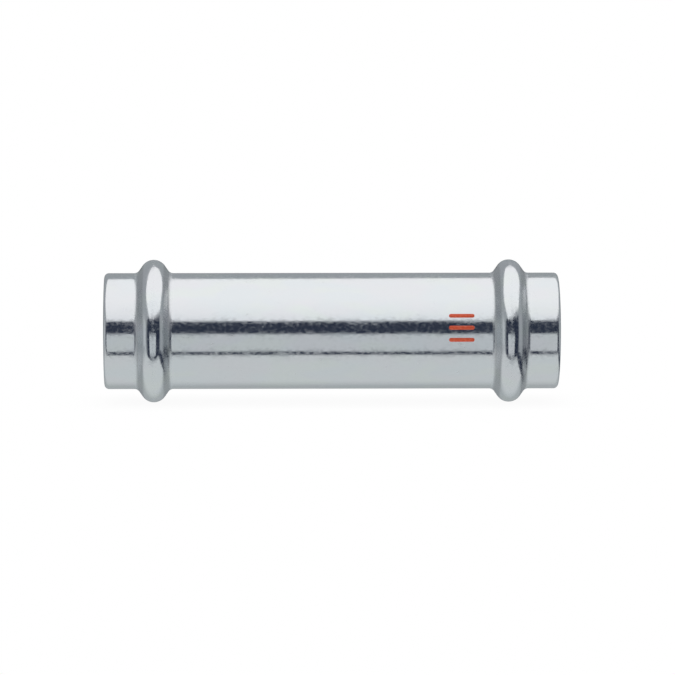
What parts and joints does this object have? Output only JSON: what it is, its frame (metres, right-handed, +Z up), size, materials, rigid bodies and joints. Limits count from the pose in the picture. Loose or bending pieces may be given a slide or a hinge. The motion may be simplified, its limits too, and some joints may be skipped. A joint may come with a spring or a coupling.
{
  "type": "press fit slip coupling",
  "caption": "Straight zinc-plated steel coupling for 22 mm pipe: a plain tube with a rolled seal bead near each mouth and a rubber seal ring inside each bead.",
  "frame": {"origin": "middle of the tube, on its axis, half way between the two mouths", "axes": "+X along the tube towards the mouth beside the printed mark, +Z up as the coupling lies, -Y towards the viewer"},
  "size_m": [0.099, 0.031, 0.031],
  "materials": {
    "zinc_plating": "satin",
    "seal_rubber": "satin",
    "red_ink": "satin"
  },
  "bodies": {
    "root": {"coupling_body": "zinc_plating", "seal_ring_left": "seal_rubber", "seal_ring_right": "seal_rubber"}
  },
  "joints": []
}
